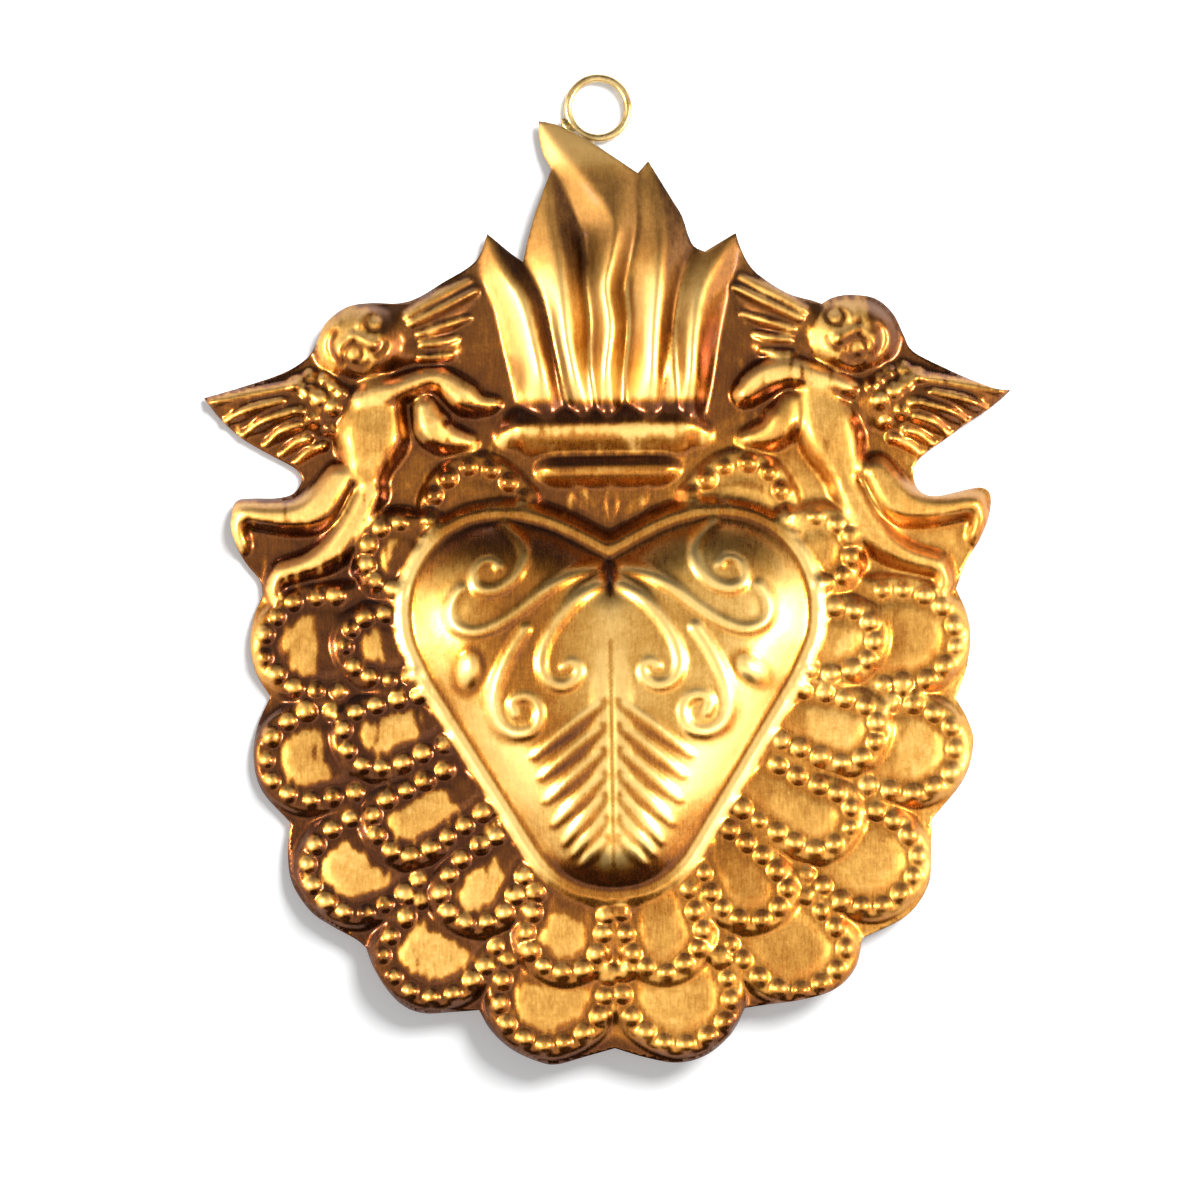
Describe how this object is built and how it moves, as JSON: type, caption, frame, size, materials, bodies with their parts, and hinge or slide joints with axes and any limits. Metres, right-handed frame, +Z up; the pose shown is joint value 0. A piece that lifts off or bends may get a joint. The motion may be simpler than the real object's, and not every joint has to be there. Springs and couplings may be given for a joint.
{
  "type": "sacred heart milagro",
  "caption": "Embossed brass wall ornament: a domed heart with flames, cherubs and beaded scallops pressed from thin sheet, hung by a soldered wire ring.",
  "frame": {"origin": "centre of the hanging ring's opening, level with the flat back of the sheet", "axes": "+X to the right seen from the front, +Y from the front towards the wall, +Z up as it hangs"},
  "size_m": [0.101, 0.0095, 0.1238],
  "materials": {
    "antiqued_brass": "brown patina rubbed back to gold on the raised forms, clear gloss lacquer",
    "brass_wire": "dull drawn wire",
    "hard_solder": "pale silver solder, melted smooth"
  },
  "bodies": {
    "root": {"pressed_sheet": "antiqued_brass", "hanging_ring": "brass_wire", "ring_solder": "hard_solder"}
  },
  "joints": []
}
